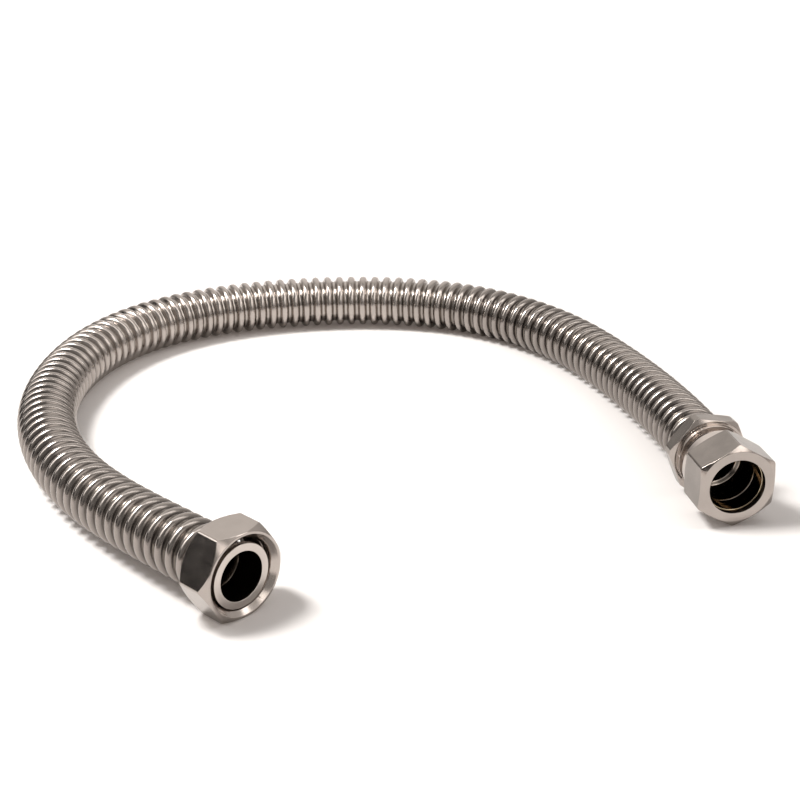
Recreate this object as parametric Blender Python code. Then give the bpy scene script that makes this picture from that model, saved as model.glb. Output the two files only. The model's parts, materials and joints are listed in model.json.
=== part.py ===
"""Corrugated stainless steel connector hose, with a swivel nut end and a compression end.

Metres, +Z up. The hose lies on Z = 0 as a horseshoe that opens towards -Y, and the origin is
under the middle of its outer box. Each fitting is turned about the local Z axis of an empty,
which points out of the fitting's mouth.
"""

import math

import bmesh
import bpy
import numpy as np
from mathutils import Matrix, Vector

# Corrugated hose
HOSE_RADIUS = 0.0124
CORRUGATION_DEPTH = 0.0024
CORRUGATION_PITCH = 0.00605
HOSE_WALL = 0.0003
HOSE_SIDES = 12
CUFF_LENGTH = 0.0040

# Route of the hose, chosen by hand: where each end's face lies, which way it looks, and the
# points of the centreline between them, seen from above
TAIL_FACE = (-0.0425, -0.1448)
TAIL_HEADING = math.radians(-44.0)
MOUTH_FACE = (0.1397, -0.0798)
MOUTH_HEADING = math.radians(-79.2)
ROUTE = [
    (-0.075, -0.113), (-0.104, -0.080), (-0.128, -0.040), (-0.140, 0.000), (-0.141, 0.039),
    (-0.132, 0.076), (-0.111, 0.108), (-0.070, 0.134), (-0.034, 0.143), (0.013, 0.143),
    (0.047, 0.132), (0.082, 0.103), (0.102, 0.071), (0.117, 0.030), (0.127, -0.013),
]
LIFT_LENGTH = 0.115              # the hose comes off the surface over this length at each end

# The copper tube that goes into the compression end, and the thread round it. The same G 3/4
# thread is on the swivel end, and both are cut smooth here at the outer diameter
TUBE_RADIUS = 0.0110
THREAD_STANDOFF = 0.00222        # from the tube to the thread's outer diameter
THREAD_CLEARANCE = 0.0003
SEAT_GAP = 0.0003                # between pieces that touch

# Tail with the flat sealing ring
TAIL_WALL = 0.0008
TAIL_RING_CLEARANCE = 0.00112    # from the ring's rim to the thread's outer diameter
TAIL_RING_THICKNESS = 0.0024
TAIL_LENGTH = 0.0125

# Swivel nut, lying on a flat. It is loose on the tail, which rests low and to one side in it
SWIVEL_WALL = 0.00288            # from the thread to the flats
SWIVEL_SHIFT_SIDE = 0.0006       # of the nut's axis from the tail's axis
SWIVEL_SHIFT_UP = 0.0005
SWIVEL_LENGTH = 0.015
SWIVEL_OVERHANG = 0.0012         # ahead of the ring's face
SWIVEL_FACE_LAND = 0.0011
SWIVEL_LIP_THICKNESS = 0.003
SWIVEL_LIP_CLEARANCE = 0.0004    # at the side where the tail's neck is nearest
SWIVEL_CORNER_ANGLE = math.radians(0.0)

# Compression nut, lying on a corner
COMPRESSION_WALL = 0.00163       # from the thread to the flats
COMPRESSION_HEX_LENGTH = 0.0165
COMPRESSION_LENGTH = 0.0213
COMPRESSION_COLLAR_WALL = 0.00083
COMPRESSION_LIP_THICKNESS = 0.0022
COMPRESSION_CORNER_ANGLE = math.radians(30.0)
MOUTH_CLEARANCE = 0.00015        # round the tube, in the nut and in the socket

# Olive, squeezed onto the tube between the nut and the adapter
OLIVE_LENGTH = 0.0078
OLIVE_END_WALL = 0.0006
OLIVE_SIDE_CLEARANCE = 0.00081   # inside the nut's thread
OLIVE_CLEARANCE = 0.00006        # round the tube

# Adapter body, welded to the hose
ADAPTER_HEX_LENGTH = 0.0067
ADAPTER_CORNER_ANGLE = math.radians(52.0)
ADAPTER_CORNER_RISE = 0.0017     # of the turned corners above the flats
ADAPTER_COLLAR_RISE = 0.00073    # above the thread
ADAPTER_COLLAR_LENGTH = 0.0027
ADAPTER_GROOVE_LENGTH = 0.0015
ADAPTER_GROOVE_DEPTH = 0.0012
ADAPTER_SOCKET_DEPTH = 0.0125
ADAPTER_WALL = 0.0006            # at the hose's cuff
NUT_STANDOFF = 0.0045            # from the nut's rear to the adapter's collar

CORNER_BEVEL = 0.0008
EDGE_BREAK = 0.0004
TURNED_SIDES = 48

VALLEY_RADIUS = HOSE_RADIUS - CORRUGATION_DEPTH
THREAD_RADIUS = TUBE_RADIUS + THREAD_STANDOFF
THREAD_BORE_RADIUS = THREAD_RADIUS + THREAD_CLEARANCE / 2
THREAD_NOSE_RADIUS = THREAD_RADIUS - THREAD_CLEARANCE / 2
SOCKET_RADIUS = TUBE_RADIUS + MOUTH_CLEARANCE
TAIL_BORE_RADIUS = VALLEY_RADIUS - TAIL_WALL
ADAPTER_BORE_RADIUS = VALLEY_RADIUS - ADAPTER_WALL
SWIVEL_ACROSS_FLATS = 2 * (THREAD_BORE_RADIUS + SWIVEL_WALL)
COMPRESSION_ACROSS_FLATS = 2 * (THREAD_BORE_RADIUS + COMPRESSION_WALL)
COMPRESSION_COLLAR_RADIUS = THREAD_BORE_RADIUS + COMPRESSION_COLLAR_WALL
ADAPTER_COLLAR_RADIUS = THREAD_NOSE_RADIUS + ADAPTER_COLLAR_RISE
OLIVE_BORE_RADIUS = TUBE_RADIUS + OLIVE_CLEARANCE
OLIVE_RADIUS = THREAD_BORE_RADIUS - OLIVE_SIDE_CLEARANCE


def clear_scene():
    """Removes the default objects, and leaves the file open."""
    for obj in list(bpy.data.objects):
        bpy.data.objects.remove(obj, do_unlink=True)


def metal(name, colour, roughness):
    """A plain metal material."""
    material = bpy.data.materials.new(name)
    material.use_nodes = True
    shader = material.node_tree.nodes["Principled BSDF"]
    shader.inputs["Base Color"].default_value = (*colour, 1.0)
    shader.inputs["Metallic"].default_value = 1.0
    shader.inputs["Roughness"].default_value = roughness
    return material


def add_object(name, bm, material, parent=None):
    """Makes a smooth-shaded object of a bmesh."""
    mesh = bpy.data.meshes.new(name)
    bm.to_mesh(mesh)
    bm.free()
    mesh.shade_smooth()
    mesh.set_sharp_from_angle(angle=math.radians(35))
    mesh.materials.append(material)
    obj = bpy.data.objects.new(name, mesh)
    bpy.context.scene.collection.objects.link(obj)
    obj.parent = parent
    return obj


def hide_cutter(obj):
    """Keeps a cutter out of the model, and shows it as wire."""
    obj.hide_render = True
    obj.display_type = "WIRE"


def cut(obj, cutter, operation):
    """Adds an exact Boolean with a cutter."""
    boolean = obj.modifiers.new(cutter.name, "BOOLEAN")
    boolean.operation = operation
    boolean.object = cutter
    hide_cutter(cutter)


def turned(profile):
    """A solid turned about Z from a closed outline of (radius, z), listed in order round it."""
    bm = bmesh.new()
    verts = [bm.verts.new((radius, 0.0, z)) for radius, z in profile]
    edges = [bm.edges.new(pair) for pair in zip(verts, verts[1:] + verts[:1]) if not on_axis(pair)]
    bmesh.ops.spin(bm, geom=verts + edges, axis=(0, 0, 1), cent=(0, 0, 0), dvec=(0, 0, 0),
                   angle=2 * math.pi, steps=TURNED_SIDES, use_merge=True, use_duplicate=False)
    bmesh.ops.remove_doubles(bm, verts=bm.verts, dist=1e-7)
    bmesh.ops.recalc_face_normals(bm, faces=bm.faces)
    return bm


def on_axis(pair):
    """True for an edge that lies on the Z axis."""
    return all(vert.co.x < 1e-9 for vert in pair)


def corner_reach(across_flats):
    """Distance from the axis to the middle of a hexagon's rounded corner."""
    rounding = CORNER_BEVEL / math.tan(math.pi / 6)
    return across_flats / math.sqrt(3) - rounding * (1 / math.cos(math.pi / 6) - 1)


def hexagon_prism(across_flats, bottom, top, corner_angle):
    """A hexagonal prism about Z with bevelled corners, with one corner at the given angle."""
    bm = bmesh.new()
    turn = Matrix.Rotation(corner_angle - math.pi / 2, 4, "Z")
    place = Matrix.Translation((0, 0, (bottom + top) / 2)) @ turn
    radius = across_flats / math.sqrt(3)
    bmesh.ops.create_cone(bm, cap_ends=True, cap_tris=False, segments=6, radius1=radius,
                          radius2=radius, depth=top - bottom, matrix=place)
    corners = [edge for edge in bm.edges if abs(edge.verts[0].co.z - edge.verts[1].co.z) > 1e-6]
    bmesh.ops.bevel(bm, geom=corners, offset=CORNER_BEVEL, segments=2, profile=0.5,
                    affect="EDGES", material=-1)
    return bm


def end_empty(name, face, heading, height):
    """An empty at a fitting's face, whose Z axis points out of its mouth and Y axis points up."""
    outward = Vector((math.cos(heading), math.sin(heading), 0.0))
    up = Vector((0.0, 0.0, 1.0))
    side = up.cross(outward)
    empty = bpy.data.objects.new(name, None)
    bpy.context.scene.collection.objects.link(empty)
    turn = Matrix((side, up, outward)).transposed().to_4x4()
    empty.matrix_world = Matrix.Translation((*face, height)) @ turn
    return empty


def spline(knots, start_slope, end_slope):
    """Second derivatives of a cubic spline through knots, clamped to the slopes at its ends."""
    count = len(knots)
    matrix = np.zeros((count, count))
    right = np.zeros((count, knots.shape[1]))
    step = np.linalg.norm(np.diff(knots, axis=0), axis=1)
    rise = np.diff(knots, axis=0) / step[:, None]
    matrix[0, :2] = 2 * step[0], step[0]
    right[0] = 6 * (rise[0] - start_slope)
    matrix[-1, -2:] = step[-1], 2 * step[-1]
    right[-1] = 6 * (end_slope - rise[-1])
    for i in range(1, count - 1):
        matrix[i, i - 1:i + 2] = step[i - 1], 2 * (step[i - 1] + step[i]), step[i]
        right[i] = 6 * (rise[i] - rise[i - 1])
    return step, np.linalg.solve(matrix, right)


def plan_curve(knots, start_slope, end_slope, per_span=40):
    """Points along the clamped cubic spline, close enough together to measure along."""
    step, bend = spline(knots, start_slope, end_slope)
    points = [knots[:1]]
    for i, length in enumerate(step):
        t = np.linspace(0, 1, per_span + 1)[1:, None]
        a, b = 1 - t, t
        points.append(a * knots[i] + b * knots[i + 1]
                      + ((a ** 3 - a) * bend[i] + (b ** 3 - b) * bend[i + 1]) * length ** 2 / 6)
    return np.vstack(points)


def lengths_along(points):
    """Distance along a line of points, from its start."""
    return np.concatenate([[0.0], np.cumsum(np.linalg.norm(np.diff(points, axis=0), axis=1))])


def smooth_step(t):
    """0 to 1 with level ends."""
    t = np.clip(t, 0.0, 1.0)
    return t * t * (3 - 2 * t)


def hose_centreline(hose_start, hose_end, tail_height, mouth_height):
    """The hose's centreline: a smooth plan through ROUTE that rises to the fittings' axes."""
    outward = [np.array((math.cos(a), math.sin(a))) for a in (TAIL_HEADING, MOUTH_HEADING)]
    first = np.array(TAIL_FACE) - hose_start * outward[0]
    last = np.array(MOUTH_FACE) - hose_end * outward[1]
    plan = plan_curve(np.vstack([first, ROUTE, last]), -outward[0], outward[1])
    along = lengths_along(plan)
    height = (HOSE_RADIUS + (tail_height - HOSE_RADIUS) * smooth_step(1 - along / LIFT_LENGTH)
              + (mouth_height - HOSE_RADIUS) * smooth_step(1 - (along[-1] - along) / LIFT_LENGTH))
    return np.column_stack([plan, height])


def corrugations(length):
    """Stations (distance, radius) along the hose: a cuff, crests and valleys in turn, a cuff."""
    count = round((length - 2 * CUFF_LENGTH) / CORRUGATION_PITCH)
    half = (length - 2 * CUFF_LENGTH) / (2 * count)
    stations = [(0.0, VALLEY_RADIUS)]
    for i in range(2 * count + 1):
        stations.append((CUFF_LENGTH + i * half, HOSE_RADIUS if i % 2 else VALLEY_RADIUS))
    stations.append((length, VALLEY_RADIUS))
    return stations


def ring(bm, centre, tangent, radius):
    """A ring of vertices square to the centreline, with one vertex straight down."""
    side = np.cross((0.0, 0.0, 1.0), tangent)
    side /= np.linalg.norm(side)
    up = np.cross(tangent, side)
    verts = []
    for i in range(HOSE_SIDES):
        angle = 2 * math.pi * i / HOSE_SIDES - math.pi / 2
        verts.append(bm.verts.new(centre + radius * (math.cos(angle) * side + math.sin(angle) * up)))
    return verts


def join_rings(bm, rings):
    """Joins rings of vertices into a skin, in order."""
    for first, second in zip(rings, rings[1:]):
        for i in range(HOSE_SIDES):
            j = (i + 1) % HOSE_SIDES
            bm.faces.new((first[i], first[j], second[j], second[i]))


def build_hose(material, centreline):
    """The thin corrugated tube, open at both ends."""
    along = lengths_along(centreline)
    tangents = np.gradient(centreline, along, axis=0)
    bm = bmesh.new()
    outer, inner = [], []
    for distance, radius in corrugations(along[-1]):
        centre = np.array([np.interp(distance, along, centreline[:, k]) for k in range(3)])
        tangent = np.array([np.interp(distance, along, tangents[:, k]) for k in range(3)])
        tangent /= np.linalg.norm(tangent)
        outer.append(ring(bm, centre, tangent, radius))
        inner.append(ring(bm, centre, tangent, radius - HOSE_WALL))
    join_rings(bm, outer)
    join_rings(bm, inner)
    join_rings(bm, [outer[0], inner[0]])
    join_rings(bm, [outer[-1], inner[-1]])
    bmesh.ops.recalc_face_normals(bm, faces=bm.faces)
    return add_object("corrugated_hose", bm, material)


def build_tail(material, parent):
    """Sealing ring, neck and bore, in one turned piece that is welded to the hose's cuff."""
    ring_radius = THREAD_RADIUS - TAIL_RING_CLEARANCE
    neck = VALLEY_RADIUS
    profile = [
        (TAIL_BORE_RADIUS, 0.0), (ring_radius - EDGE_BREAK, 0.0), (ring_radius, -EDGE_BREAK),
        (ring_radius, -TAIL_RING_THICKNESS), (neck, -TAIL_RING_THICKNESS), (neck, -TAIL_LENGTH),
        (TAIL_BORE_RADIUS, -TAIL_LENGTH),
    ]
    return add_object("flange_tail", turned(profile), material, parent)


def build_swivel_nut(material, parent):
    """Hexagon with turned chamfers, a threaded bore and a lip that holds it on the tail."""
    front = SWIVEL_OVERHANG
    rear = front - SWIVEL_LENGTH
    face_radius = SWIVEL_ACROSS_FLATS / 2
    reach = SWIVEL_ACROSS_FLATS / math.sqrt(3) + EDGE_BREAK
    slope = reach - face_radius
    nut = add_object("swivel_nut", hexagon_prism(SWIVEL_ACROSS_FLATS, rear, front, SWIVEL_CORNER_ANGLE),
                     material, parent)
    envelope = [(0.0, front), (face_radius, front), (reach, front - slope), (reach, rear + slope),
                (face_radius, rear), (0.0, rear)]
    cut(nut, add_object("swivel_nut_chamfer", turned(envelope), material, parent), "INTERSECT")
    lip_radius = VALLEY_RADIUS + math.hypot(SWIVEL_SHIFT_SIDE, SWIVEL_SHIFT_UP) + SWIVEL_LIP_CLEARANCE
    sink_radius = face_radius - SWIVEL_FACE_LAND
    lip_front = rear + SWIVEL_LIP_THICKNESS
    past = 2 * EDGE_BREAK
    bore = [(0.0, front + past), (sink_radius + past, front + past),
            (THREAD_BORE_RADIUS, front + THREAD_BORE_RADIUS - sink_radius),
            (THREAD_BORE_RADIUS, lip_front), (lip_radius, lip_front), (lip_radius, rear - past),
            (0.0, rear - past)]
    cut(nut, add_object("swivel_nut_bore", turned(bore), material, parent), "DIFFERENCE")
    return nut


def build_compression_nut(material, parent):
    """Hexagon and rear collar in one, with a hole for the tube, a seat for the olive and a thread."""
    rear = -COMPRESSION_LENGTH
    flat = COMPRESSION_ACROSS_FLATS / 2
    reach = COMPRESSION_ACROSS_FLATS / math.sqrt(3) + EDGE_BREAK
    nut = add_object("compression_nut",
                     hexagon_prism(COMPRESSION_ACROSS_FLATS, rear, 0.0, COMPRESSION_CORNER_ANGLE),
                     material, parent)
    face_slope = (reach - flat) / 2
    collar_slope = (reach - COMPRESSION_COLLAR_RADIUS) / 2
    hexagon_end = -COMPRESSION_HEX_LENGTH + face_slope
    envelope = [(0.0, 0.0), (flat, 0.0), (reach, -face_slope), (reach, hexagon_end),
                (COMPRESSION_COLLAR_RADIUS, hexagon_end - collar_slope),
                (COMPRESSION_COLLAR_RADIUS, rear + EDGE_BREAK),
                (COMPRESSION_COLLAR_RADIUS - EDGE_BREAK, rear), (0.0, rear)]
    cut(nut, add_object("compression_nut_chamfer", turned(envelope), material, parent), "INTERSECT")
    past = 2 * EDGE_BREAK
    seat_end = -COMPRESSION_LIP_THICKNESS - (THREAD_BORE_RADIUS - SOCKET_RADIUS)
    bore = [(0.0, past), (SOCKET_RADIUS, past), (SOCKET_RADIUS, -COMPRESSION_LIP_THICKNESS),
            (THREAD_BORE_RADIUS, seat_end), (THREAD_BORE_RADIUS, rear - past), (0.0, rear - past)]
    cut(nut, add_object("compression_nut_bore", turned(bore), material, parent), "DIFFERENCE")
    return nut


def olive_front():
    """Height of the olive's front end, where its rim rests on the nut's 45 degree seat."""
    end_radius = OLIVE_BORE_RADIUS + OLIVE_END_WALL
    return -COMPRESSION_LIP_THICKNESS - (end_radius - SOCKET_RADIUS) - SEAT_GAP * math.sqrt(2)


def build_olive(material, parent):
    """The soft barrel-shaped ring that is squeezed onto the tube."""
    front = olive_front()
    rear = front - OLIVE_LENGTH
    end_radius = OLIVE_BORE_RADIUS + OLIVE_END_WALL
    slope = 2 * (OLIVE_RADIUS - end_radius)
    profile = [
        (OLIVE_BORE_RADIUS, front), (end_radius, front), (OLIVE_RADIUS, front - slope),
        (OLIVE_RADIUS, rear + slope), (end_radius, rear), (OLIVE_BORE_RADIUS, rear),
    ]
    return add_object("olive", turned(profile), material, parent)


def adapter_hex_front():
    """Height of the front face of the adapter's hexagon."""
    return -COMPRESSION_LENGTH - NUT_STANDOFF - ADAPTER_COLLAR_LENGTH


def adapter_rear():
    """Height of the adapter's rear face, where the hose is welded on."""
    return adapter_hex_front() - ADAPTER_HEX_LENGTH


def build_adapter(material, parent):
    """Hexagon, collar, groove and threaded nose in one, with a socket for the tube."""
    hex_front, rear = adapter_hex_front(), adapter_rear()
    collar_front = hex_front + ADAPTER_COLLAR_LENGTH
    groove_front = collar_front + ADAPTER_GROOVE_LENGTH
    groove_radius = THREAD_NOSE_RADIUS - ADAPTER_GROOVE_DEPTH
    cone_depth = (OLIVE_RADIUS - SOCKET_RADIUS) / 3
    nose_front = olive_front() - OLIVE_LENGTH - SEAT_GAP
    socket_end = nose_front - ADAPTER_SOCKET_DEPTH
    flat = COMPRESSION_ACROSS_FLATS / 2
    reach = flat + ADAPTER_CORNER_RISE
    slope = ADAPTER_CORNER_RISE / 2
    adapter = add_object("adapter_body",
                         hexagon_prism(COMPRESSION_ACROSS_FLATS, rear, hex_front, ADAPTER_CORNER_ANGLE),
                         material, parent)
    envelope = [(0.0, hex_front + slope), (flat - 2 * slope, hex_front + slope), (reach, hex_front - slope),
                (reach, rear + slope), (flat - 2 * slope, rear - slope), (0.0, rear - slope)]
    cut(adapter, add_object("adapter_body_chamfer", turned(envelope), material, parent), "INTERSECT")
    root = hex_front - slope
    nose = [(0.0, nose_front), (THREAD_NOSE_RADIUS - EDGE_BREAK, nose_front),
            (THREAD_NOSE_RADIUS, nose_front - EDGE_BREAK), (THREAD_NOSE_RADIUS, groove_front + EDGE_BREAK),
            (groove_radius, groove_front), (groove_radius, collar_front),
            (ADAPTER_COLLAR_RADIUS - EDGE_BREAK, collar_front),
            (ADAPTER_COLLAR_RADIUS, collar_front - EDGE_BREAK), (ADAPTER_COLLAR_RADIUS, root), (0.0, root)]
    cut(adapter, add_object("adapter_body_nose", turned(nose), material, parent), "UNION")
    past = 2 * EDGE_BREAK
    bore = [(0.0, nose_front + past), (SOCKET_RADIUS + cone_depth + past, nose_front + past),
            (SOCKET_RADIUS, nose_front - cone_depth), (SOCKET_RADIUS, socket_end),
            (ADAPTER_BORE_RADIUS, socket_end - (SOCKET_RADIUS - ADAPTER_BORE_RADIUS) / 2),
            (ADAPTER_BORE_RADIUS, rear - past), (0.0, rear - past)]
    cut(adapter, add_object("adapter_body_bore", turned(bore), material, parent), "DIFFERENCE")
    return adapter


def main():
    clear_scene()
    tube_steel = metal("tube_steel", (0.62, 0.59, 0.55), 0.22)
    nut_steel = metal("nut_steel", (0.60, 0.57, 0.53), 0.35)
    brass = metal("olive_brass", (0.78, 0.60, 0.30), 0.3)

    nut_height = SWIVEL_ACROSS_FLATS / 2
    tail_height = nut_height - SWIVEL_SHIFT_UP
    mouth_height = corner_reach(COMPRESSION_ACROSS_FLATS)
    nut_face = (TAIL_FACE[0] - SWIVEL_SHIFT_SIDE * math.sin(TAIL_HEADING),
                TAIL_FACE[1] + SWIVEL_SHIFT_SIDE * math.cos(TAIL_HEADING))
    tail_end = end_empty("tail_end", TAIL_FACE, TAIL_HEADING, tail_height)
    nut_end = end_empty("nut_end", nut_face, TAIL_HEADING, nut_height)
    mouth_end = end_empty("mouth_end", MOUTH_FACE, MOUTH_HEADING, mouth_height)

    hose_start = TAIL_LENGTH + SEAT_GAP
    hose_end = -adapter_rear() + SEAT_GAP
    build_hose(tube_steel, hose_centreline(hose_start, hose_end, tail_height, mouth_height))
    build_tail(tube_steel, tail_end)
    build_swivel_nut(nut_steel, nut_end)
    build_adapter(nut_steel, mouth_end)
    build_compression_nut(nut_steel, mouth_end)
    build_olive(brass, mouth_end)


main()
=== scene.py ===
# %% [markdown]
# # A corrugated connector hose, bent by hand into a horseshoe
#
# The real thing is a thin stainless tube whose wall is rolled into rings, so that it bends by
# hand and stays bent. One end has a flat sealing ring with a loose nut round it, the other takes
# a copper pipe in a compression fitting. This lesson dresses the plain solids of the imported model:
# it finds each fitting's axis in the model, then builds every piece again round that axis with
# finer edges, threads and finishes.

# %% Load the fixed frame
import json
import math

import bmesh
import bpy
import numpy as np
from mathutils import Matrix, Vector


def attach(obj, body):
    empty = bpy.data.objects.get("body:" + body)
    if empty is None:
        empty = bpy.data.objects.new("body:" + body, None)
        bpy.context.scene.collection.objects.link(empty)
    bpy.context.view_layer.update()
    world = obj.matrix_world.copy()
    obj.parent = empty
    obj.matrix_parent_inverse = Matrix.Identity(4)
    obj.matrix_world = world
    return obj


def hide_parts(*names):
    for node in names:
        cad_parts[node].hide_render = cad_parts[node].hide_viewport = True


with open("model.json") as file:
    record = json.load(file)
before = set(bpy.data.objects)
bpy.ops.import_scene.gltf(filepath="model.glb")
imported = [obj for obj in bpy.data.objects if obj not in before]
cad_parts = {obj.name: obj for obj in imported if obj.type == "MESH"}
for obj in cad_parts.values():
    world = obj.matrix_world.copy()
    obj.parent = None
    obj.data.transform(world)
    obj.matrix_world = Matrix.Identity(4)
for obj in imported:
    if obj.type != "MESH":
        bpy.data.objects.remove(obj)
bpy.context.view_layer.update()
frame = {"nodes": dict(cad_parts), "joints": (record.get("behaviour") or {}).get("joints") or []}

print("the frame holds", ", ".join(sorted(frame["nodes"])))

# %% [markdown]
# ## The camera
#
# A product picture is taken a little from above. The camera could be aimed with a constraint, but
# here its place, its tilt and its lens are plain numbers, because they were found by laying the
# hose's outline over the picture until both agreed.

# %% The camera
CAMERA_PLACE = (0.0114, -0.5927, 0.2745)
CAMERA_TILT = math.radians(66.66)        # from looking straight down
LENS = 67.86                             # millimetres, on a sensor 36 wide

camera = bpy.data.objects.new("camera", bpy.data.cameras.new("camera"))
camera.data.sensor_width = 36.0
camera.data.lens = LENS
camera.location = CAMERA_PLACE
camera.rotation_euler = (CAMERA_TILT, 0.0, 0.0)
bpy.context.scene.collection.objects.link(camera)
bpy.context.scene.camera = camera
bpy.context.scene.view_settings.view_transform = "Standard"
print("camera", round(1000 * math.dist(CAMERA_PLACE, (0, 0, 0))), "mm from the origin")

# %% [markdown]
# ## Where the fittings are
#
# Both nuts turn on a joint of the model, so each joint already says where a fitting's axis is.
# Every turned piece below is drawn round the Z axis, with its mouth at zero and Z pointing out of
# it, and one matrix then takes it to its place. That is easier than drawing it tilted. The left
# nut is loose, so the tail rests low and to one side in it and has an axis of its own.

# %% Axes of the two fittings


def fitting_place(joint_name):
    """The matrix from a fitting's own axes to the frame: Z out of the mouth, Y up."""
    joint = next(j for j in frame["joints"] if j["name"] == joint_name)
    outward, up = Vector(joint["axis"]), Vector((0.0, 0.0, 1.0))
    turn = Matrix((up.cross(outward), up, outward)).transposed()
    return Matrix.Translation(joint["pos_m"]) @ turn.to_4x4()


NUT_SHIFT = (0.0006, 0.0005, 0.0)        # of the loose nut's axis from the tail's

NUT_PLACE = fitting_place("swivel_turn")
TAIL_PLACE = NUT_PLACE @ Matrix.Translation(NUT_SHIFT).inverted()
MOUTH_PLACE = fitting_place("nut_unscrew")
print("tail axis", round(1000 * TAIL_PLACE.translation.z, 2), "mm up")
print("mouth axis", round(1000 * MOUTH_PLACE.translation.z, 2), "mm up")

# %% [markdown]
# ## The hose's centreline
#
# The hose is a single smooth line with a section swept along it. A Bezier curve would do, but a cubic
# spline through the listed points gives the same line as the solid model has, point for point. The plan
# lies flat, and both ends rise a few millimetres to meet the fittings' axes.

# %% Route of the hose
HOSE_RADIUS = 0.0124
HOSE_START = 0.0128                      # from the tail's face back to the end of the hose
HOSE_END = 0.0355                        # from the mouth's face back to the end of the hose
LIFT_LENGTH = 0.115                      # over which each end rises to its fitting
SPAN_STEPS = 40                          # from one point of the route to the next
ROUTE = [
    (-0.075, -0.113), (-0.104, -0.080), (-0.128, -0.040), (-0.140, 0.000), (-0.141, 0.039),
    (-0.132, 0.076), (-0.111, 0.108), (-0.070, 0.134), (-0.034, 0.143), (0.013, 0.143),
    (0.047, 0.132), (0.082, 0.103), (0.102, 0.071), (0.117, 0.030), (0.127, -0.013),
]


def spline(knots, start_slope, end_slope):
    """Second derivatives of a cubic spline through knots, clamped to the slopes at its ends."""
    count = len(knots)
    matrix = np.zeros((count, count))
    right = np.zeros((count, knots.shape[1]))
    step = np.linalg.norm(np.diff(knots, axis=0), axis=1)
    rise = np.diff(knots, axis=0) / step[:, None]
    matrix[0, :2] = 2 * step[0], step[0]
    right[0] = 6 * (rise[0] - start_slope)
    matrix[-1, -2:] = step[-1], 2 * step[-1]
    right[-1] = 6 * (end_slope - rise[-1])
    for i in range(1, count - 1):
        matrix[i, i - 1:i + 2] = step[i - 1], 2 * (step[i - 1] + step[i]), step[i]
        right[i] = 6 * (rise[i] - rise[i - 1])
    return step, np.linalg.solve(matrix, right)


def plan_curve(knots, start_slope, end_slope):
    """Points along the clamped cubic spline, close enough together to measure along."""
    step, bend = spline(knots, start_slope, end_slope)
    points = [knots[:1]]
    for i, length in enumerate(step):
        t = np.linspace(0, 1, SPAN_STEPS + 1)[1:, None]
        a, b = 1 - t, t
        points.append(a * knots[i] + b * knots[i + 1]
                      + ((a ** 3 - a) * bend[i] + (b ** 3 - b) * bend[i + 1]) * length ** 2 / 6)
    return np.vstack(points)


def lengths_along(points):
    """Distance along a line of points, from its start."""
    return np.concatenate([[0.0], np.cumsum(np.linalg.norm(np.diff(points, axis=0), axis=1))])


def smooth_step(t):
    """0 to 1 with level ends."""
    t = np.clip(t, 0.0, 1.0)
    return t * t * (3 - 2 * t)


def hose_centreline():
    """The hose's centreline: a smooth plan through ROUTE that rises to the fittings' axes."""
    ends = [np.array(place.translation) for place in (TAIL_PLACE, MOUTH_PLACE)]
    outward = [np.array(place.col[2][:2]) for place in (TAIL_PLACE, MOUTH_PLACE)]
    first = ends[0][:2] - HOSE_START * outward[0]
    last = ends[1][:2] - HOSE_END * outward[1]
    plan = plan_curve(np.vstack([first, ROUTE, last]), -outward[0], outward[1])
    along = lengths_along(plan)
    height = (HOSE_RADIUS
              + (ends[0][2] - HOSE_RADIUS) * smooth_step(1 - along / LIFT_LENGTH)
              + (ends[1][2] - HOSE_RADIUS) * smooth_step(1 - (along[-1] - along) / LIFT_LENGTH))
    return np.column_stack([plan, height])


CENTRELINE = hose_centreline()
CENTRE_ALONG = lengths_along(CENTRELINE)
HOSE_LENGTH = CENTRE_ALONG[-1]
print("hose", round(1000 * HOSE_LENGTH, 1), "mm along its centreline")

# %% [markdown]
# ## The corrugated wall
#
# On the real hose every ring is rolled from one thin tube: round crests and narrower round valleys
# that run into each other. The outline of a ring is two arcs that touch on the way up. A displaced
# tube would blur them, so the whole wall is drawn as one straight outline, spun round the axis, and
# only then bent along the centreline, as a Curve modifier would bend it.

# %% Outline of the corrugated wall
CORRUGATION_DEPTH = 0.0024
CORRUGATION_PITCH = 0.00605
CUFF_LENGTH = 0.0040
HOSE_WALL = 0.0003
CREST_SHARE = 0.6                        # of the pitch, and the valleys have the rest
ARC_STEPS = 4                            # on the crest's arc, and as many on the valley's
PITCH_WANDER = 0.00005                   # the rolls never space two rings quite alike
HEIGHT_WANDER = 0.00004                  # and no two are quite alike in height

VALLEY_RADIUS = HOSE_RADIUS - CORRUGATION_DEPTH


def half_wave(start, end, base, peak):
    """Points (distance, radius) from a valley at start to a crest at end, or the other way."""
    width, rise = end - start, peak - base
    turn = 2 * math.atan2(abs(rise), width)
    first = 1 - CREST_SHARE if rise > 0 else CREST_SHARE
    points = []
    for i in range(2 * ARC_STEPS):
        angle = turn * (i / ARC_STEPS if i < ARC_STEPS else 2 - i / ARC_STEPS)
        across = math.sin(angle) / math.sin(turn)
        lift = (1 - math.cos(angle)) / (1 - math.cos(turn))
        if i < ARC_STEPS:
            points.append((start + first * width * across, base + first * rise * lift))
        else:
            points.append((end - (1 - first) * width * across, peak - (1 - first) * rise * lift))
    return points


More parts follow.
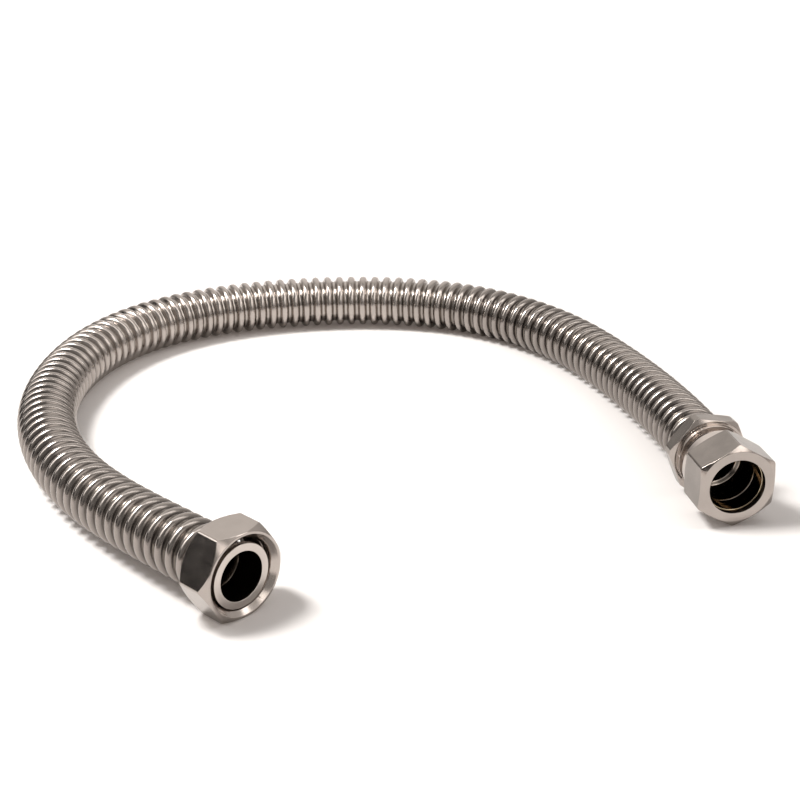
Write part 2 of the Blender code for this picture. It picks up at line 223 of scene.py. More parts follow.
def wall_outline(length):
    """The outer outline from cuff to cuff, and a coarser inner one."""
    random = np.random.default_rng(11)
    rings = round((length - 2 * CUFF_LENGTH) / CORRUGATION_PITCH)
    places = np.linspace(CUFF_LENGTH, length - CUFF_LENGTH, 2 * rings + 1)
    places[1:-1] += random.uniform(-PITCH_WANDER, PITCH_WANDER, 2 * rings - 1)
    radii = np.where(np.arange(2 * rings + 1) % 2, HOSE_RADIUS, VALLEY_RADIUS)
    radii[1:-1] -= random.uniform(0, HEIGHT_WANDER, 2 * rings - 1)
    outer = [(0.0, VALLEY_RADIUS)]
    for i in range(2 * rings):
        outer += half_wave(places[i], places[i + 1], radii[i], radii[i + 1])
    outer += [(places[-1], VALLEY_RADIUS), (length, VALLEY_RADIUS)]
    kept = outer[:1] + outer[1::ARC_STEPS] + outer[-1:]
    inner = [(distance, radius - HOSE_WALL) for distance, radius in kept]
    return rings, outer, inner


RINGS, OUTER_WALL, INNER_WALL = wall_outline(HOSE_LENGTH)
print(RINGS, "rings,", len(OUTER_WALL), "points on the outer outline")

# %% [markdown]
# Spinning the outline makes a straight hose. Each of its points then keeps its place on a disc
# that slides along the centreline and stays square to it. The straight shape is kept as an
# attribute, so that a finish can follow the rings round every bend.

# %% Spin the wall and bend it along the centreline
HOSE_STEPS = 44
BORE_SHADE_FINISH = 1                          # place of the bores' painted shade in each piece's list
FACING_AXIS = -0.9                       # a wall whose normal points inwards at least this much


def spin_outline(outline, steps):
    """A closed outline of (radius, height) spun once round Z."""
    bm = bmesh.new()
    verts = [bm.verts.new((radius, 0.0, height)) for radius, height in outline]
    edges = [bm.edges.new(pair) for pair in zip(verts, verts[1:] + verts[:1])]
    bmesh.ops.spin(bm, geom=verts + edges, axis=(0, 0, 1), cent=(0, 0, 0), dvec=(0, 0, 0),
                   angle=2 * math.pi, steps=steps, use_merge=True, use_duplicate=False)
    bmesh.ops.recalc_face_normals(bm, faces=bm.faces)
    return bm


def mesh_object(name, bm):
    """A smooth-shaded object at the origin."""
    mesh = bpy.data.meshes.new(name)
    bm.to_mesh(mesh)
    bm.free()
    mesh.shade_smooth()
    obj = bpy.data.objects.new(name, mesh)
    bpy.context.scene.collection.objects.link(obj)
    return obj


def vertex_places(mesh):
    """The mesh's vertices as an array."""
    places = np.zeros(3 * len(mesh.vertices))
    mesh.vertices.foreach_get("co", places)
    return places.reshape(-1, 3)


def keep_vector(mesh, name, values):
    """Keeps a vector for each vertex, for the mesh's material to read."""
    layer = mesh.attributes.new(name, "FLOAT_VECTOR", "POINT")
    layer.data.foreach_set("vector", values.astype(np.float32).ravel())


def bend_along_centreline(mesh):
    """Moves a straight mesh round Z onto the centreline, and keeps what the finish needs."""
    straight = vertex_places(mesh)
    tangents = np.gradient(CENTRELINE, CENTRE_ALONG, axis=0)
    centre, ahead = [
        np.column_stack([np.interp(straight[:, 2], CENTRE_ALONG, line[:, k]) for k in range(3)])
        for line in (CENTRELINE, tangents)]
    ahead /= np.linalg.norm(ahead, axis=1)[:, None]
    side = np.cross((0.0, 0.0, 1.0), ahead)
    side /= np.linalg.norm(side, axis=1)[:, None]
    up = np.cross(ahead, side)
    bent = centre + straight[:, :1] * side + straight[:, 1:2] * up
    mesh.vertices.foreach_set("co", bent.ravel())
    mesh.update()
    keep_vector(mesh, "straight", straight)
    keep_vector(mesh, "round_way", straight[:, :1] * up - straight[:, 1:2] * side)


def mark_bores(mesh, bands=()):
    """Gives walls that face the axis the painted shade of the bores, and faces at radii in the bands too.
    """
    for face in mesh.polygons:
        reach = math.hypot(face.center.x, face.center.y)
        outward = (face.normal.x * face.center.x + face.normal.y * face.center.y) / max(reach, 1e-9)
        if outward < FACING_AXIS or any(low < reach < high for low, high in bands):
            face.material_index = BORE_SHADE_FINISH


def build_hose():
    """The whole corrugated wall, open at both ends."""
    outline = [(radius, distance) for distance, radius in OUTER_WALL + INNER_WALL[::-1]]
    bm = spin_outline(outline, HOSE_STEPS)
    hose = mesh_object("corrugated_wall", bm)
    # The hose's inner wall gets the bores' painted shade.
    for face in hose.data.polygons:
        if face.normal.x * face.center.x + face.normal.y * face.center.y < 0:
            face.material_index = BORE_SHADE_FINISH
    bend_along_centreline(hose.data)
    return hose


hose = build_hose()
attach(hose, "root")
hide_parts("corrugated_hose")
print("hose", len(hose.data.polygons), "faces")

# %% [markdown]
# ## Turned pieces
#
# Every fitting starts on a lathe. Cylinders and cones could be joined with a Boolean, but one closed
# outline of half the section, spun round the axis, gives every wall, shoulder and bore at once and
# leaves clean rings of faces. Sharp edges then get a small bevel, and the local shape is kept
# before the piece goes to its place, so that turning marks can run round the axis in the material.

# %% Helpers for turned pieces
TURNED_STEPS = 168
EDGE_BREAK = 0.00013
SHARP = math.radians(25)


def soften(bm, width=EDGE_BREAK, segments=2):
    """Bevels the edges where two faces meet at an angle."""
    edges = [edge for edge in bm.edges if edge.is_manifold and edge.calc_face_angle() > SHARP]
    bmesh.ops.bevel(bm, geom=edges, offset=width, offset_type="OFFSET", segments=segments,
                    profile=0.5, affect="EDGES", material=-1, clamp_overlap=True)


def place_turned(obj, place, bands=()):
    """Takes a piece drawn round Z to its place, and keeps what turning marks need."""
    mesh = obj.data
    mark_bores(mesh, bands)
    local = vertex_places(mesh)
    keep_vector(mesh, "straight", local)
    mesh.transform(place)
    turn = np.array(place.to_3x3())
    around = np.column_stack([-local[:, 1], local[:, 0], np.zeros(len(local))])
    keep_vector(mesh, "round_way", around @ turn.T)
    mesh.update()
    normals = obj.modifiers.new("crisp_shading", "WEIGHTED_NORMAL")
    normals.mode = "FACE_AREA"
    normals.weight = 100


def triangles(obj):
    """Triangles in a piece."""
    return sum(len(face.vertices) - 2 for face in obj.data.polygons)


# %% [markdown]
# ## Threads
#
# A thread is one small section carried round and along the axis at the same time. The spin
# operator does both: its dvec moves each step a little further. The ridge sinks a little into
# the wall, and it fades into the wall over its last turn, as a cut thread runs out.

# %% Helpers for threads
LEAD = 0.001814                          # of a right-hand pipe thread with 14 turns an inch
THREAD_STEPS = 90                        # in a turn
THREAD_SINK = 0.00015                    # of the ridge into its wall
HALF_ROOT, HALF_CREST = 0.46, 0.09       # half the ridge's width at the wall and on top, in leads
THREAD_END = 0.05                        # of the ridge's height is left where it runs out


def add_thread(bm, wall_radius, crest_radius, start, end):
    """Adds a helical ridge on a wall, from the height start up to end."""
    out = 1 if crest_radius > wall_radius else -1
    root, crest = LEAD * HALF_ROOT, LEAD * HALF_CREST
    section = [(wall_radius - out * THREAD_SINK, -root), (wall_radius, -root), (crest_radius, -crest),
               (crest_radius, crest), (wall_radius, root), (wall_radius - out * THREAD_SINK, root)]
    turns = (end - start) / LEAD
    steps = round(turns * THREAD_STEPS)
    verts = [bm.verts.new((radius, 0.0, start + height)) for radius, height in section]
    face = bm.faces.new(verts)
    before = set(bm.verts) - set(verts)
    bmesh.ops.spin(bm, geom=[face], axis=(0, 0, 1), cent=(0, 0, 0),
                   dvec=(0, 0, (end - start) / steps), angle=turns * 2 * math.pi, steps=steps,
                   use_merge=False, use_duplicate=False)
    for vert in set(bm.verts) - before:
        reach = math.hypot(vert.co.x, vert.co.y)
        fade = min(1.0, (vert.co.z - start + LEAD) / LEAD, (end + LEAD - vert.co.z) / LEAD)
        height = (reach - wall_radius) * out
        if height > 0:
            wanted = wall_radius + out * height * max(fade, THREAD_END)
            vert.co.x *= wanted / reach
            vert.co.y *= wanted / reach
    bmesh.ops.recalc_face_normals(bm, faces=bm.faces)


# %% [markdown]
# ## Hexagons
#
# A nut is turned round first and then milled, and so is this one: the blank is spun, its columns
# are crowded towards the six corners, and each outer point is drawn in to the flat. A point on
# the end's cone slides along the cone on its way in, which leaves the curved edge that a
# chamfered nut has. Where the blank is narrower than the hexagon, its round skin stays on the
# corners. A Boolean with a prism gives the same shape, but with long thin faces that shade badly.

# %% Helper that mills a hexagon
CORNER_ROUNDING = 0.0003
TOUCHING = 1e-6                          # a point this close to a surface lies on it
CORNER_CROWDING = 0.2                    # spacing of the columns at a corner, as a share of even


def hexagon_reach(angle, across_flats):
    """Distance from the axis to a hexagon with rounded corners, one of them at angle 0."""
    sixth, flat = math.pi / 6, across_flats / 2
    away = abs((angle + sixth) % (2 * sixth) - sixth)
    middle = (flat - CORNER_ROUNDING) / math.cos(sixth)
    tangent = math.atan2(CORNER_ROUNDING / 2, middle + CORNER_ROUNDING * math.cos(sixth))
    if away > tangent:
        return flat / math.cos(sixth - away)
    return middle * math.cos(away) + math.sqrt(CORNER_ROUNDING ** 2 - (middle * math.sin(away)) ** 2)


def mill_hexagon(bm, across_flats, blank_radius, cones, corner_angle):
    """Mills the outer wall. cones gives (radius, height, slope) where each end's cone starts."""
    sixth = math.pi / 6
    middle = (cones[0][1] + cones[1][1]) / 2
    for vert in bm.verts:
        angle = math.atan2(vert.co.y, vert.co.x)
        corner = round(angle / (2 * sixth)) * 2 * sixth
        share = (angle - corner) / sixth
        angle = corner + sixth * share * (CORNER_CROWDING + (1 - CORNER_CROWDING) * abs(share))
        radius = math.hypot(vert.co.x, vert.co.y)
        start, height, slope = cones[0] if vert.co.z > middle else cones[1]
        on_cone = abs(vert.co.z - height - slope * (radius - start)) < TOUCHING
        if radius > start + TOUCHING and (on_cone or radius > blank_radius - TOUCHING):
            share = (radius - start) / (blank_radius - start)
            radius = start + share * (min(hexagon_reach(angle, across_flats), blank_radius) - start)
            if on_cone:
                vert.co.z = height + slope * (radius - start)
        vert.co.x, vert.co.y = radius * math.cos(angle), radius * math.sin(angle)
    bmesh.ops.rotate(bm, verts=bm.verts, cent=(0, 0, 0), matrix=Matrix.Rotation(corner_angle, 3, "Z"))


# %% [markdown]
# ## Sizes that the fittings share
#
# The pipe and its thread decide nearly every radius, so they come first, and the rest is a wall
# or a clearance away from them.

# %% Sizes that the fittings share
TUBE_RADIUS = 0.0110
THREAD_RADIUS = TUBE_RADIUS + 0.00222
THREAD_BORE = THREAD_RADIUS + 0.00015
THREAD_NOSE = THREAD_RADIUS - 0.00015
THREAD_DEPTH = 0.00102
SOCKET_RADIUS = TUBE_RADIUS + 0.00015
SEAT_GAP = 0.0003
print("thread", round(2000 * THREAD_RADIUS, 2), "mm over its crests")

# %% [markdown]
# ## Tail with the sealing ring
#
# The flat ring at the left end presses on a washer. It and the short neck behind it are one
# turned piece, welded to the hose's plain cuff. The outline has only six points, because the ring
# and the neck have square shoulders, and the bevel does the rest.

# %% Tail
TAIL_RING_RADIUS = THREAD_RADIUS - 0.00112
TAIL_RING_THICKNESS = 0.0024
TAIL_LENGTH = 0.0125
TAIL_BORE = VALLEY_RADIUS - 0.0008
TAIL_EDGE = 0.0002                       # its edges are rounder than the nuts'


def build_tail():
    """Ring, neck and bore in one."""
    outline = [
        (TAIL_BORE, 0.0), (TAIL_RING_RADIUS, 0.0), (TAIL_RING_RADIUS, -TAIL_RING_THICKNESS),
        (VALLEY_RADIUS, -TAIL_RING_THICKNESS), (VALLEY_RADIUS, -TAIL_LENGTH), (TAIL_BORE, -TAIL_LENGTH),
    ]
    bm = spin_outline(outline, TURNED_STEPS)
    soften(bm, TAIL_EDGE)
    tail = mesh_object("sealing_ring", bm)
    place_turned(tail, TAIL_PLACE)
    return tail


tail = build_tail()
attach(tail, "root")
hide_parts("flange_tail")
print("tail", triangles(tail), "triangles")

# %% [markdown]
# ## Swivel nut
#
# The nut hangs loose on the tail's neck: a lip at its rear end can't pass the ring. Its front
# edge is countersunk, and behind that runs the thread. A Screw modifier could make the thread, but
# it would need an object of its own. Two runs of the helper put the thread into the same mesh: a
# full one behind the ring, and a shallow one beside it.

# %% Swivel nut
SWIVEL_FLATS = 2 * (THREAD_BORE + 0.00288)
SWIVEL_BLANK = 0.0186
SWIVEL_TURN = 0.0                        # of one corner from the fitting's X
SWIVEL_FRONT = 0.0012                    # the nut's face stands this far before the ring
SWIVEL_REAR = SWIVEL_FRONT - 0.015
SWIVEL_FACE_LAND = 0.0011
SWIVEL_LIP = 0.003
SWIVEL_LIP_RADIUS = VALLEY_RADIUS + math.hypot(*NUT_SHIFT) + 0.0004
SWIVEL_TURNS = 4                         # of full thread behind the ring
RELIEVED_DEPTH = 0.0004                  # of the thread beside the ring
FULL_THREAD_GAP = 0.4                    # leads from the ring's back to the full thread
SINK_GAP = 0.3                           # leads from the thread's front end to the countersink
FACE_SHORTFALL = 0.0003                  # the face's circle is this much smaller than the flats


def build_swivel_nut():
    """Hexagon with turned chamfers, countersink, thread and rear lip."""
    flat = SWIVEL_FLATS / 2
    face = flat - FACE_SHORTFALL
    sink = flat - SWIVEL_FACE_LAND
    blank = SWIVEL_BLANK
    cones = [(face, SWIVEL_FRONT, -1.0), (face, SWIVEL_REAR, 1.0)]
    outline = [
        (sink, SWIVEL_FRONT), (face, SWIVEL_FRONT), (blank, SWIVEL_FRONT - (blank - face)),
        (blank, SWIVEL_REAR + (blank - face)), (face, SWIVEL_REAR), (SWIVEL_LIP_RADIUS, SWIVEL_REAR),
        (SWIVEL_LIP_RADIUS, SWIVEL_REAR + SWIVEL_LIP), (THREAD_BORE, SWIVEL_REAR + SWIVEL_LIP),
        (THREAD_BORE, SWIVEL_FRONT - (sink - THREAD_BORE)),
    ]
    bm = spin_outline(outline, TURNED_STEPS)
    mill_hexagon(bm, SWIVEL_FLATS, blank, cones, SWIVEL_TURN)
    soften(bm)
    relief = -TAIL_RING_THICKNESS - FULL_THREAD_GAP * LEAD
    add_thread(bm, THREAD_BORE, THREAD_BORE - THREAD_DEPTH, relief - SWIVEL_TURNS * LEAD, relief)
    add_thread(bm, THREAD_BORE, THREAD_BORE - RELIEVED_DEPTH, relief,
               SWIVEL_FRONT - (sink - THREAD_BORE) - SINK_GAP * LEAD)
    nut = mesh_object("swivel_hexagon", bm)
    place_turned(nut, NUT_PLACE)
    return nut


swivel_nut = build_swivel_nut()
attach(swivel_nut, "swivel_end")
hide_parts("swivel_nut")
print("swivel nut", triangles(swivel_nut), "triangles")

# %% [markdown]
# ## Compression nut
#
# The right nut squeezes a brass olive onto the pipe. A round collar runs back from its hexagon,
# and a slope inside its mouth pushes the olive. Its thread stays a plain bore, because it is hidden
# inside. The blank is only as wide as the nut's height above the table allows, and narrower than
# the hexagon, which leaves the corners round.

# %% Compression nut
COMPRESSION_FLATS = 2 * (THREAD_BORE + 0.00163)
COMPRESSION_BLANK = MOUTH_PLACE.translation.z - 0.00002
COMPRESSION_TURN = math.radians(30.0)
COMPRESSION_HEX = 0.0165
COMPRESSION_LENGTH = 0.0213
COLLAR_RADIUS = THREAD_BORE + 0.00083
COMPRESSION_LIP = 0.0022
CONE_SLOPE = 0.5


def build_compression_nut():
    """Hexagon and collar, with the pipe's hole, the olive's seat and the thread."""
    flat = COMPRESSION_FLATS / 2
    blank = COMPRESSION_BLANK
    face = flat - FACE_SHORTFALL
    shoulder = -COMPRESSION_HEX + CONE_SLOPE * (blank - flat)
    step = shoulder - CONE_SLOPE * (blank - COLLAR_RADIUS)
    cones = [(face, 0.0, -CONE_SLOPE), (COLLAR_RADIUS, step, CONE_SLOPE)]
    seat_end = -COMPRESSION_LIP - (THREAD_BORE - SOCKET_RADIUS)
    outline = [
        (SOCKET_RADIUS, 0.0), (face, 0.0), (blank, -CONE_SLOPE * (blank - face)), (blank, shoulder),
        (COLLAR_RADIUS, step), (COLLAR_RADIUS, -COMPRESSION_LENGTH), (THREAD_BORE, -COMPRESSION_LENGTH),
        (THREAD_BORE, seat_end), (SOCKET_RADIUS, -COMPRESSION_LIP),
    ]
    bm = spin_outline(outline, TURNED_STEPS)
    mill_hexagon(bm, COMPRESSION_FLATS, blank, cones, COMPRESSION_TURN)
    soften(bm)
    nut = mesh_object("compression_hexagon", bm)
    place_turned(nut, MOUTH_PLACE)
    return nut


compression_nut = build_compression_nut()
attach(compression_nut, "screw_nut")
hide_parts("compression_nut")
print("compression nut", triangles(compression_nut), "triangles")

# %% [markdown]
# ## Olive
#
# A soft barrel-shaped ring, loose between the nut and the body. Its rim shows as a thin bright line
# inside the mouth. A torus would be too round: an olive has two slopes and a flat belt, so it is
# spun from an outline as well, with three segments in its bevels.

# %% Olive
OLIVE_LENGTH = 0.0078
OLIVE_BORE = TUBE_RADIUS + 0.00006
OLIVE_END = OLIVE_BORE + 0.0006
OLIVE_RADIUS = THREAD_BORE - 0.00081
OLIVE_EDGE = 0.0002
OLIVE_FRONT = -COMPRESSION_LIP - (OLIVE_END - SOCKET_RADIUS) - SEAT_GAP * math.sqrt(2)


def build_olive():
    """The barrel, with a flat belt round its middle."""
    slope = 2 * (OLIVE_RADIUS - OLIVE_END)
    rear = OLIVE_FRONT - OLIVE_LENGTH
    outline = [
        (OLIVE_BORE, OLIVE_FRONT), (OLIVE_END, OLIVE_FRONT), (OLIVE_RADIUS, OLIVE_FRONT - slope),
        (OLIVE_RADIUS, rear + slope), (OLIVE_END, rear), (OLIVE_BORE, rear),
    ]
    bm = spin_outline(outline, TURNED_STEPS)
    soften(bm, OLIVE_EDGE, 3)
    olive = mesh_object("brass_olive", bm)
    place_turned(olive, MOUTH_PLACE)
    return olive


olive = build_olive()
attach(olive, "olive_ring")
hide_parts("olive")
print("olive", triangles(olive), "triangles")

# %% [markdown]
# ## Adapter body
#
# The piece that the compression nut screws onto: a thin hexagon for the second spanner, a collar, a groove
# where the thread runs out, and the threaded nose with the pipe's socket inside. The pipe stands on a
# sloping stop at the socket's end. Its two rims stay bright, and the slope between them and the groove get
# painted shade, so those radii are given to the bores' painted shade while the piece is made.

# %% Adapter body
ADAPTER_TURN = math.radians(52.0)
ADAPTER_HEX = 0.0067
ADAPTER_CORNER_RISE = 0.0017
ADAPTER_COLLAR_RADIUS = THREAD_NOSE + 0.00073
ADAPTER_COLLAR = 0.0027
NUT_TO_COLLAR = 0.0045                   # where the groove and the first turns of thread show
GROOVE_LENGTH = 0.0015
GROOVE_RADIUS = THREAD_NOSE - 0.0012
SOCKET_DEPTH = 0.0125
STOP_RIM = 0.0004                        # bright edges of the stop that the pipe stands on
THREAD_MARGIN = 0.6                      # of a lead is left free at either end of the thread
ADAPTER_BORE = VALLEY_RADIUS - 0.0006
# radii that get the bores' painted shade: the slope of the stop between its rims, and the groove
STOP_SHADE_BAND = (ADAPTER_BORE + STOP_RIM, SOCKET_RADIUS - STOP_RIM)
GROOVE_SHADE_BAND = (GROOVE_RADIUS - 0.0001, THREAD_NOSE - THREAD_DEPTH - 0.0002)
HEX_FRONT = -COMPRESSION_LENGTH - NUT_TO_COLLAR - ADAPTER_COLLAR


def build_adapter():
    """Hexagon, collar, groove and threaded nose in one."""
    rear = HEX_FRONT - ADAPTER_HEX
    flat = COMPRESSION_FLATS / 2
    blank = flat + ADAPTER_CORNER_RISE
    face = flat - FACE_SHORTFALL
    cones = [(face, HEX_FRONT, -CONE_SLOPE), (face, rear, CONE_SLOPE)]
    collar_front = HEX_FRONT + ADAPTER_COLLAR
    groove_front = collar_front + GROOVE_LENGTH
    nose_front = OLIVE_FRONT - OLIVE_LENGTH - SEAT_GAP
    lead_in = (OLIVE_RADIUS - SOCKET_RADIUS) / 3
    socket_end = nose_front - SOCKET_DEPTH
    stop_end = socket_end - (SOCKET_RADIUS - ADAPTER_BORE) / 2
    wall = THREAD_NOSE - THREAD_DEPTH
    outline = [
        (SOCKET_RADIUS + lead_in, nose_front), (wall, nose_front), (wall, groove_front),
        (GROOVE_RADIUS, groove_front), (GROOVE_RADIUS, collar_front),
        (ADAPTER_COLLAR_RADIUS, collar_front), (ADAPTER_COLLAR_RADIUS, HEX_FRONT), (face, HEX_FRONT),
        (blank, HEX_FRONT - CONE_SLOPE * (blank - face)), (blank, rear + CONE_SLOPE * (blank - face)),
        (face, rear), (ADAPTER_BORE, rear), (ADAPTER_BORE, stop_end),
        (ADAPTER_BORE + STOP_RIM, stop_end + STOP_RIM / 2),
        (SOCKET_RADIUS - STOP_RIM, socket_end - STOP_RIM / 2),
        (SOCKET_RADIUS, socket_end), (SOCKET_RADIUS, nose_front - lead_in),
    ]
    bm = spin_outline(outline, TURNED_STEPS)
    mill_hexagon(bm, COMPRESSION_FLATS, blank, cones, ADAPTER_TURN)
    soften(bm)
    add_thread(bm, wall, THREAD_NOSE,
               groove_front + THREAD_MARGIN * LEAD, nose_front - THREAD_MARGIN * LEAD)
    adapter = mesh_object("adapter_hexagon", bm)
    place_turned(adapter, MOUTH_PLACE, [STOP_SHADE_BAND, GROOVE_SHADE_BAND])
    return adapter


adapter = build_adapter()
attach(adapter, "root")
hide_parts("adapter_body")
print("adapter", triangles(adapter), "triangles")

print("cord", round(1000 * HOSE_LENGTH, 1), "mm long,", round(2000 * HOSE_RADIUS, 1), "mm thick")

# %% [markdown]
# ## Finishes
#
# All of it is metal, so colour, roughness and fine relief make the difference. A small helper
# adds a node with its settings, which keeps each finish readable.

# %% Helpers for node trees


def add_node(tree, kind, values=(), **settings):
    """A node with its settings, and its input sockets filled or linked by name or number."""
    node = tree.nodes.new(kind)
    for name, value in settings.items():
        setattr(node, name, value)
    for socket, value in dict(values).items():
        if isinstance(value, bpy.types.NodeSocket):
            tree.links.new(value, node.inputs[socket])
        else:
            node.inputs[socket].default_value = value
    return node


def math_node(tree, operation, first, second=0.0):
    """The result of one sum."""
    return add_node(tree, "ShaderNodeMath", {0: first, 1: second}, operation=operation).outputs[0]


def turned_coordinates(tree, across, around):
    """A vector for a pattern: radius and height scaled by across, the way round by around."""
    local = add_node(tree, "ShaderNodeAttribute", attribute_name="straight").outputs["Vector"]
    parts = add_node(tree, "ShaderNodeSeparateXYZ", {0: local}).outputs
    flat = add_node(tree, "ShaderNodeCombineXYZ", {0: parts[0], 1: parts[1]}).outputs[0]
    radius = add_node(tree, "ShaderNodeVectorMath", {0: flat}, operation="LENGTH").outputs["Value"]
    angle = math_node(tree, "ARCTAN2", parts[1], parts[0])
    return add_node(tree, "ShaderNodeCombineXYZ", {
        0: math_node(tree, "MULTIPLY", radius, across),
        1: math_node(tree, "MULTIPLY", parts[2], across),
        2: math_node(tree, "MULTIPLY", angle, around)}).outputs[0]


def local_coordinates(tree, scale):
    """The straight or untilted shape, stretched along each axis."""
    local = add_node(tree, "ShaderNodeAttribute", attribute_name="straight").outputs["Vector"]
    return add_node(tree, "ShaderNodeMapping", {"Vector": local, "Scale": scale}).outputs[0]


def noise(tree, vector, detail=3.0, roughness=0.5):
    """Noise of scale 1 on a vector that is already scaled."""
    return add_node(tree, "ShaderNodeTexNoise", {
        "Vector": vector, "Scale": 1.0, "Detail": detail, "Roughness": roughness}).outputs["Fac"]


def spread(tree, value, low, high, start=0.3, end=0.7):
    """A value from start to end as a value from low to high."""
    return add_node(tree, "ShaderNodeMapRange", {
        "Value": value, "From Min": start, "From Max": end, "To Min": low, "To Max": high}).outputs[0]


def round_tangent(tree):
    """The way round the axis, for a highlight that is drawn out across turning marks."""
    way = add_node(tree, "ShaderNodeAttribute", attribute_name="round_way").outputs["Vector"]
    return add_node(tree, "ShaderNodeVectorTransform", {0: way}, vector_type="VECTOR",
                    convert_from="OBJECT", convert_to="WORLD").outputs[0]


def metal(name, dark, bright):
    """A metal with a colour that wanders between two tones, and its tree and shader."""
    material = bpy.data.materials.new(name)
    material.use_nodes = True
    tree = material.node_tree
    shader = tree.nodes["Principled BSDF"]
    shader.inputs["Metallic"].default_value = 1.0
    tone = noise(tree, local_coordinates(tree, (90.0, 90.0, 90.0)), 4.0)
    colour = add_node(tree, "ShaderNodeMix", {
        "Factor": spread(tree, tone, 0.0, 1.0), 6: (*dark, 1.0), 7: (*bright, 1.0)}, data_type="RGBA")
    tree.links.new(colour.outputs[2], shader.inputs["Base Color"])
    return material, tree, shader


def bump(tree, shader, height, distance):
    """Relief from a height."""
    relief = add_node(tree, "ShaderNodeBump", {"Height": height, "Distance": distance, "Strength": 1.0})
    tree.links.new(relief.outputs[0], shader.inputs["Normal"])


# %% [markdown]
# The hose is bright as rolled. Faint lines run round every ring, where the rolls pressed it. The valleys
# get painted shade, for the shade that falls between the rings, and the crests a little of it. It is thin
# along the middle of the hose and full towards both ends. The painted shade is mixed in by radius and by
# the distance along the straight shape, so that it follows every bend. Painting it by hand would give a
# picture that fits one bend.

# %% Rolled steel
# painted shade for the valleys, and more faintly for the crests, strongest towards both ends
VALLEY_SHADE_COLOUR = (0.11, 0.097, 0.088, 1.0)
SHADE_ON_CRESTS = 0.40                    # of the painted shade in the valleys
SHADE_IN_MIDDLE = 0.1                     # of the painted shade towards the ends
SHADE_EDGES = (0.07, 0.16)                # from the middle to where the painted shade starts and is full
ROLLING_LINES = 0.3                      # height of the faint lines, against the slow waves


def rolled_steel():
    """Bright tube steel with faint lines round the rings and a slight unevenness."""
    material, tree, shader = metal("rolled_steel", (0.43, 0.389, 0.361), (0.49, 0.443, 0.411))
    lines = noise(tree, turned_coordinates(tree, across=2600.0, around=1.2), 2.0)
    waves = noise(tree, local_coordinates(tree, (240.0, 240.0, 240.0)), 2.0)
    grime = noise(tree, local_coordinates(tree, (420.0, 420.0, 420.0)), 5.0, 0.6)
    tree.links.new(spread(tree, grime, 0.19, 0.26), shader.inputs["Roughness"])
    local = add_node(tree, "ShaderNodeAttribute", attribute_name="straight").outputs["Vector"]
    flat = add_node(tree, "ShaderNodeVectorMath", {0: local, 1: (1.0, 1.0, 0.0)}, operation="MULTIPLY")
    radius = add_node(tree, "ShaderNodeVectorMath", {0: flat.outputs[0]}, operation="LENGTH")
    # painted shade: a dark colour mixed in towards the valleys and towards both ends of the hose
    valley = spread(tree, radius.outputs["Value"], 1.0, SHADE_ON_CRESTS,
                    VALLEY_RADIUS + 0.0008, HOSE_RADIUS - 0.0002)
    along = add_node(tree, "ShaderNodeSeparateXYZ", {0: local}).outputs[2]
    from_middle = math_node(tree, "ABSOLUTE", math_node(tree, "SUBTRACT", along, HOSE_LENGTH / 2))
    share = math_node(tree, "MULTIPLY", valley, spread(tree, from_middle, SHADE_IN_MIDDLE, 1.0, *SHADE_EDGES))
    unshaded = shader.inputs["Base Color"].links[0].from_socket
    painted_valley_shade = add_node(tree, "ShaderNodeMix", {"Factor": share, 6: unshaded, 7: VALLEY_SHADE_COLOUR}, data_type="RGBA")
    tree.links.new(painted_valley_shade.outputs[2], shader.inputs["Base Color"])
    height = math_node(tree, "ADD", math_node(tree, "MULTIPLY", lines, ROLLING_LINES), waves)
    bump(tree, shader, height, 0.00004)
    return material


ROLLED_STEEL = rolled_steel()
hose.data.materials.append(ROLLED_STEEL)
print("finish", ROLLED_STEEL.name)

# %% [markdown]
# Faces and chamfers show the lathe's fine rings, which draw a highlight out across them. A picture
# of rings would do, but noise that is stretched round the axis stays sharp close up. The finish is
# anisotropic too, so that the highlight is drawn out even where the rings are too fine to see.

# %% Turned steel


def turned_steel(name, dark, bright):
    """Fine rings round the axis."""
    material, tree, shader = metal(name, dark, bright)
    rings = noise(tree, turned_coordinates(tree, across=5200.0, around=0.7), 3.0, 0.6)
    patches = noise(tree, turned_coordinates(tree, across=700.0, around=1.6), 3.0)
    tree.links.new(spread(tree, patches, 0.12, 0.20), shader.inputs["Roughness"])
    shader.inputs["Anisotropic"].default_value = 0.55
    tree.links.new(round_tangent(tree), shader.inputs["Tangent"])
    bump(tree, shader, rings, 0.000012)
    return material


TURNED_STEEL = turned_steel("turned_steel", (0.42, 0.376, 0.347), (0.48, 0.43, 0.397))
# A lighter copy of the turned steel: painted light for the bright look of the tail's ring and the round
# collars.
LIT_RING_STEEL = turned_steel("lit_ring_steel", (0.54, 0.487, 0.45), (0.60, 0.545, 0.505))
print("finishes", TURNED_STEEL.name, LIT_RING_STEEL.name)

# %% [markdown]
# The flats keep the dull skin of the hexagon bar, with faint lines along it. The flats of the right nut and
# the body get a darker tone as painted shade, so one function gives two tones of the same finish.

# %% Steel of the flats


def flat_steel(name, dark, bright):
    """Satin flats with faint lines along the bar."""
    material, tree, shader = metal(name, dark, bright)
    lines = noise(tree, local_coordinates(tree, (3000.0, 3000.0, 120.0)), 3.0, 0.6)
    patches = noise(tree, local_coordinates(tree, (300.0, 300.0, 200.0)), 2.0)
    tree.links.new(spread(tree, patches, 0.17, 0.21), shader.inputs["Roughness"])
    bump(tree, shader, lines, 0.00001)
    return material


SMOOTH_FLATS = flat_steel("smooth_flats", (0.39, 0.35, 0.32), (0.43, 0.386, 0.355))
# a darker tone: painted shade on the flats of the right nut and the body
SHADED_SATIN_FLATS = flat_steel("shaded_satin_flats", (0.235, 0.212, 0.194), (0.31, 0.279, 0.256))
print("finishes", SMOOTH_FLATS.name, SHADED_SATIN_FLATS.name)

